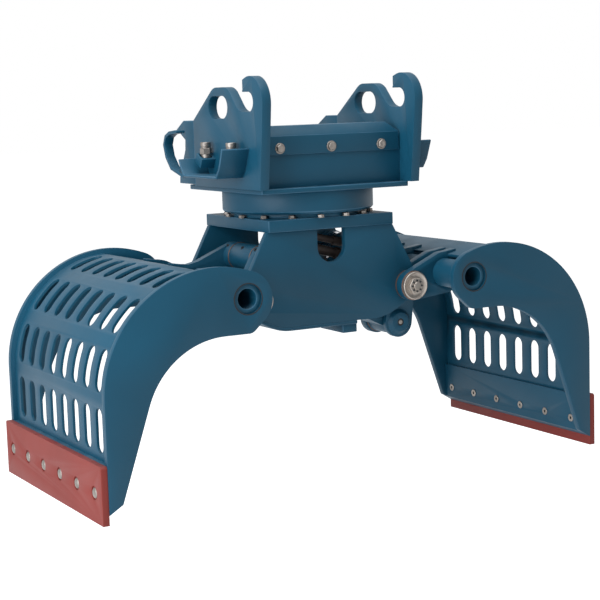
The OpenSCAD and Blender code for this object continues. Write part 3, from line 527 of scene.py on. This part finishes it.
# A black disc, painted shade of the recess round the socket screw.
SCREW_RECESS_SHADE = part("screw_seat", ([(0, 0), (11.9, 0), (11.9, 3.4), (11, 4.2), (0, 4.2)], 48))
SOCKET_SCREW = part(
    "socket_screw", ([(0, 4), (6.6, 4), (6.6, 4.5), (6, 5), (3.4, 5), (3, 4.3), (0, 4.3)], 32))

# %% [markdown]
# What repeats is placed by two Geometry Nodes trees. One sets a part in a ring and the other in a
# row. Both can give every part its own small turn round its axis, as a spanner leaves it. Copies
# in a loop would look the same, but a tree keeps count, step and turn as inputs that can be
# changed. The trees end in plain geometry with its finish.


# %% Trees that repeat a part
def repeat_tree(name, sockets, points_of):
    tree = bpy.data.node_groups.new(name, "GeometryNodeTree")
    tree.is_modifier = True
    tree.interface.new_socket("Geometry", in_out="OUTPUT", socket_type="NodeSocketGeometry")
    shared = {"Part": "NodeSocketObject", "Count": "NodeSocketInt",
              "Loose Turn": "NodeSocketFloat", "Seed": "NodeSocketInt",
              "Place": "NodeSocketVector", "Turn": "NodeSocketVector",
              "Finish": "NodeSocketMaterial"}
    for label, kind in {**shared, **sockets}.items():
        tree.interface.new_socket(label, in_out="INPUT", socket_type=kind)
    entry = tree.nodes.new("NodeGroupInput")
    given = {label: Wire(tree, entry.outputs[label]) for label in {**shared, **sockets}}
    g = Wire(tree)
    piece = g.node("GeometryNodeObjectInfo", None, {"Object": given["Part"]}, out="Geometry")
    float_min, float_max, float_value = 2, 3, 1
    loose = g.node("FunctionNodeRandomValue", {"data_type": "FLOAT"},
                   {float_min: 0.0, float_max: given["Loose Turn"], "Seed": given["Seed"]},
                   out=float_value)
    own_turn = g.node("ShaderNodeCombineXYZ", None, {"Z": loose})
    placed = g.node("GeometryNodeInstanceOnPoints", None,
                    {"Points": points_of(g, given), "Instance": piece, "Rotation": own_turn})
    solid = g.node("GeometryNodeRealizeInstances", None, {"Geometry": placed})
    moved = g.node("GeometryNodeTransform", None,
                   {"Geometry": solid, "Translation": given["Place"], "Rotation": given["Turn"]})
    finished = g.node("GeometryNodeSetMaterial", None,
                      {"Geometry": moved, "Material": given["Finish"]})
    tree.links.new(finished.socket, tree.nodes.new("NodeGroupOutput").inputs[0])
    return tree


def ring_points(g, given):
    circle = g.node("GeometryNodeMeshCircle", None,
                    {"Vertices": given["Count"], "Radius": given["Radius"]})
    first = g.node("ShaderNodeCombineXYZ", None, {"Z": given["First Turn"]})
    return g.node("GeometryNodeTransform", None, {"Geometry": circle, "Rotation": first})


def row_points(g, given):
    return g.node("GeometryNodeMeshLine", None, {"Count": given["Count"], "Offset": given["Step"]})


RING = repeat_tree("ring_of_parts", {"Radius": "NodeSocketFloat", "First Turn": "NodeSocketFloat"},
                   ring_points)
ROW = repeat_tree("row_of_parts", {"Step": "NodeSocketVector"}, row_points)


def repeated(tree, name, body, slot, **values):
    """A part, repeated by a tree, as one piece. A ring needs three parts or more."""
    holder = work_object(name, bpy.data.meshes.new(name + "_work"))
    work = holder.modifiers.new("repeat", "NODES")
    work.node_group = tree
    values["Finish"] = FINISH[slot]
    for item in tree.interface.items_tree:
        label = item.name.replace(" ", "_")
        if item.in_out == "INPUT" and label in values:
            work[item.identifier] = values[label]
    mesh = taken_off(holder, name)
    mesh.set_sharp_from_angle(angle=SHARP)
    print(name, len(mesh.polygons), "faces")
    return show(mesh, name, body, slot)


def single(name, body, slot, made, place, turn=(0, 0, 0)):
    """One part by itself, as a row of one."""
    return repeated(ROW, name, body, slot, Part=made, Count=1, Place=place, Turn=turn)


# %% [markdown]
# The heights in the model are measured from the axis of the torque tubes, and those of the head
# from its base plate. A part points along Z until it is turned: by a quarter turn round X it
# points to the front, by a quarter turn round Y to the right. Sixteen bolts hold the slewing
# bearing, three the hood of the head, and six each blade.

# %% Bolts in rows and rings
TUBE_UP = 0.5925
HEAD_UP = TUBE_UP + 0.2977
QUARTER = math.pi / 2
TO_FRONT, TO_REAR = (QUARTER, 0, 0), (-QUARTER, 0, 0)
TO_RIGHT, TO_LEFT = (0, QUARTER, 0), (0, -QUARTER, 0)
SPANNER_TURN = 1.05
SLEW_R, SLEW_UP = 0.227, TUBE_UP + 0.2017
HOOD_STEP, HOOD_FACE, HOOD_UP = 0.178, -0.222, HEAD_UP + 0.1185
BLADE_STEP, BLADE_START, BLADE_FACE, BLADE_UP = 0.137, -0.3425, 0.811, 0.085

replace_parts(repeated(RING, "slew_bolt_ring", "body", "steel", Part=SLEW_BOLT, Count=16,
                     Radius=SLEW_R, First_Turn=QUARTER / 8, Loose_Turn=SPANNER_TURN, Seed=3,
                     Place=(0, 0, SLEW_UP)),
            "slew_bolts")
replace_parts(repeated(ROW, "hood_bolt_row", "head", "steel", Part=HOOD_BOLT, Count=3,
                     Loose_Turn=SPANNER_TURN, Seed=5, Step=(HOOD_STEP, 0, 0),
                     Place=(-HOOD_STEP, HOOD_FACE, HOOD_UP), Turn=TO_FRONT),
            "hood_bolts")
for side, sign, way in (("left", -1, TO_LEFT), ("right", 1, TO_RIGHT)):
    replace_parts(repeated(ROW, side + "_blade_bolt_row", side + "_shell", "steel", Part=BLADE_BOLT,
                         Count=6, Loose_Turn=SPANNER_TURN, Seed=7 + sign, Step=(0, BLADE_STEP, 0),
                         Place=(sign * BLADE_FACE, BLADE_START, BLADE_UP), Turn=way),
                side + "_blade_bolts")
print("bolts set")

# %% [markdown]
# Each shell hangs on a long pin with a dished disc at either end. A hexagon nut sits in the dish,
# and a ring of small screws sits on the nut. A brown seal ring shows round the pin. Where the
# torque tube comes through the side plate, a thin dark ring is painted shade of the gap.

# %% Shell pins
PIVOT_X, PIVOT_UP = 0.276, TUBE_UP - 0.032
TUBE_X = 0.393
NUT_FACE, LUG_FACE, SIDE_FACE = 0.2576, 0.240, 0.402
SCREW_RING_R = 0.0172

for side, sign in (("left", -1), ("right", 1)):
    shell = side + "_shell"
    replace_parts(single(side + "_pin", shell, "pin_steel", PIN, (sign * PIVOT_X, 0, PIVOT_UP),
                       TO_FRONT),
                side + "_pivot_pin")
    for face, way, end in (("front", TO_FRONT, -1), ("rear", TO_REAR, 1)):
        name = side + "_" + face
        repeated(RING, name + "_pin_screws", shell, "dark_steel", Part=PIN_SCREW, Count=8,
                 Radius=SCREW_RING_R, Place=(sign * PIVOT_X, end * NUT_FACE, PIVOT_UP), Turn=way)
        single(name + "_pin_seal", shell, "bronze", RIM_SEAL,
               (sign * PIVOT_X, end * LUG_FACE, PIVOT_UP), way)
        # Painted shade of the gap round the torque tube, as a thin black ring.
        single(name + "_tube_seal", shell, "seal_black", TUBE_GAP_SHADE,
               (sign * TUBE_X, end * SIDE_FACE, TUBE_UP), way)
print("shell pins set")

# %% [markdown]
# The link that makes both shells close together turns in two eyes. Each eye has a seal ring on
# either face. Grease goes in through small points on top of the upper eye and the levers beside it,
# where a black disc is painted shade of the hole. A socket screw holds the lower pin, ringed by a
# black disc of painted shade for its recess.

# %% Link fittings
UPPER_EYE = Vector((-0.217, 0, TUBE_UP + 0.0818))
LOWER_EYE = Vector((0.260, 0, TUBE_UP - 0.1534))
UPPER_WIDTH, LOWER_WIDTH = 0.143, 0.110
EYE_R = 0.042
LINK_FRONT = -0.1551
for name, eye, width in (("upper", UPPER_EYE, UPPER_WIDTH), ("lower", LOWER_EYE, LOWER_WIDTH)):
    single(name + "_eye_front_seal", "sync_link", "bronze", EYE_SEAL,
           eye + Vector((0, LINK_FRONT, 0)), TO_REAR)
    single(name + "_eye_rear_seal", "sync_link", "bronze", EYE_SEAL,
           eye + Vector((0, LINK_FRONT + width, 0)), TO_FRONT)

SLANT = math.radians(-40)
LEVER_Y, LINK_Y, BOSS_Y = -0.1695, -0.083, 0.018
outward = Vector((math.sin(SLANT), 0, math.cos(SLANT)))
for name, y, body in (("lever", LEVER_Y, "left_shell"), ("link", LINK_Y, "sync_link"),
                      ("boss", BOSS_Y, "left_shell")):
    # Each grease point's black disc is painted shade of its hole.
    single(name + "_grease_point", body, "seal_black", GREASE_NIPPLE_AND_HOLE_SHADE,
           UPPER_EYE + EYE_R * outward + Vector((0, y, 0)), (0, SLANT, 0))

LOWER_SCREW_FACE = Vector((0, -0.1785, 0))
# Under the socket screw, a black disc is painted shade of its recess.
single("lever_screw_seat", "right_shell", "seal_black", SCREW_RECESS_SHADE, LOWER_EYE + LOWER_SCREW_FACE, TO_FRONT)
single("lever_screw", "right_shell", "steel", SOCKET_SCREW, LOWER_EYE + LOWER_SCREW_FACE, TO_FRONT)
print("link fittings set")

# %% [markdown]
# Two quick couplings for hoses stand upright in the tray beside each hook ear. The packed
# couplings are plain, so a row of turned ones, with a hexagon, a grooved collar and a stem in
# the mouth, takes their place.

# %% Quick couplings
BLOCK_X, BLOCK_START, BLOCK_STEP, BLOCK_UP = 0.301, -0.143, 0.175, HEAD_UP + 0.092
for side, sign in (("left", -1), ("right", 1)):
    piece = repeated(ROW, side + "_coupling_row", "head", "steel", Part=COUPLING, Count=2,
                     Loose_Turn=SPANNER_TURN, Seed=11 + sign, Step=(0, BLOCK_STEP, 0),
                     Place=(sign * BLOCK_X, BLOCK_START, BLOCK_UP))
    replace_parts(piece, "quick_couplings")
print("couplings set")

# %% [markdown]
# The grapple hangs in a white room, over a floor that is low enough for its shells to swing
# shut. The sky is white for the eye, for mirrored rays and through glass, but as a light it is
# weak, so that the lamps decide how light the steel is.


# %% Sky
def shown(wire):
    """1 for a ray that shows its end to the eye: straight, mirrored or through glass."""
    straight, mirror, through = [wire.node("ShaderNodeLightPath", out=kind) for kind in
                                 ("Is Camera Ray", "Is Glossy Ray", "Is Transmission Ray")]
    return straight.sum("MAXIMUM", straight, mirror.sum("MAXIMUM", mirror, through))


WHITE = (1, 1, 1, 1)
SKY_TINT = (0.92, 0.96, 1.0, 1)
SKY_LIGHT = 0.16
world = bpy.data.worlds.new("studio")
bpy.context.scene.world = world
world.use_nodes = True
world.node_tree.nodes.clear()
sky = Wire(world.node_tree)
dim = sky.node("ShaderNodeBackground", None, {"Color": SKY_TINT, "Strength": SKY_LIGHT})
white = sky.node("ShaderNodeBackground", None, {"Color": WHITE, "Strength": 1.0})
seen_sky = sky.node("ShaderNodeMixShader", None, {0: shown(sky), 1: dim, 2: white})
world_end = world.node_tree.nodes.new("ShaderNodeOutputWorld")
world.node_tree.links.new(seen_sky.socket, world_end.inputs["Surface"])
print("sky light", SKY_LIGHT)

# %% [markdown]
# The floor is a pale matt surface, which keeps the soft shadow. For the eye it glows a little as
# well, and so it runs into the white sky without a line.

# %% Floor
HALF_FLOOR = 40
FLOOR_Z = -0.27
FLOOR_TONE = (0.8, 0.8, 0.8, 1)
FLOOR_GLOW = 0.92
corners = [(x * HALF_FLOOR, y * HALF_FLOOR, FLOOR_Z)
           for x, y in ((-1, -1), (1, -1), (1, 1), (-1, 1))]
floor_mesh = bpy.data.meshes.new("floor")
floor_mesh.from_pydata(corners, [], [(0, 1, 2, 3)])
floor = bpy.data.objects.new("floor", floor_mesh)
bpy.context.scene.collection.objects.link(floor)
ground = bpy.data.materials.new("white_floor")
ground.use_nodes = True
ground.node_tree.nodes.clear()
g = Wire(ground.node_tree)
matt = g.node("ShaderNodeBsdfDiffuse", None, {"Color": FLOOR_TONE})
glow = g.node("ShaderNodeEmission", None, {"Color": WHITE, "Strength": shown(g) * FLOOR_GLOW})
mixed = g.node("ShaderNodeAddShader", None, {0: matt, 1: glow})
ground_end = ground.node_tree.nodes.new("ShaderNodeOutputMaterial")
ground.node_tree.links.new(mixed.socket, ground_end.inputs["Surface"])
floor_mesh.materials.append(ground)
print("floor", 2 * HALF_FLOOR, "m wide at", FLOOR_Z, "m")

# %% [markdown]
# Two large soft lamps do most of the work: one high up, which lights the sloping sheet of the
# head, and one on the left, which lifts every face that looks left. The front stays darker. A
# small third one stands low and reaches the inner faces of the right shell.

# %% Lamps
DAYLIGHT = (0.92, 0.96, 1.0)
SHADE_LIGHT = (0.92, 0.95, 1.0)
MIDDLE = (0, 0, 0.7)
RIGHT_SHELL = (0.8, 0, 0.2)


def soft_lamp(name, place, aim, size, power, colour):
    light = bpy.data.lights.new(name, "AREA")
    light.shape = "SQUARE"
    light.size = size
    light.energy = power
    light.color = colour
    lamp = bpy.data.objects.new(name, light)
    bpy.context.scene.collection.objects.link(lamp)
    way = (Vector(aim) - Vector(place)).to_track_quat("-Z", "Y")
    lamp.matrix_world = Matrix.Translation(place) @ way.to_matrix().to_4x4()
    print(name, power, "W")


soft_lamp("lamp_above", (-0.8, -0.9, 4.2), MIDDLE, size=3.0, power=125, colour=DAYLIGHT)
soft_lamp("lamp_left", (-4.4, -1.3, 2.2), MIDDLE, size=3.0, power=95, colour=SHADE_LIGHT)
soft_lamp("lamp_low", (-3.6, -2.0, 0.8), RIGHT_SHELL, size=1.6, power=45, colour=SHADE_LIGHT)

# %% [markdown]
# The Standard view shows colours as they were written.

# %% Colour view
bpy.context.scene.view_settings.view_transform = "Standard"
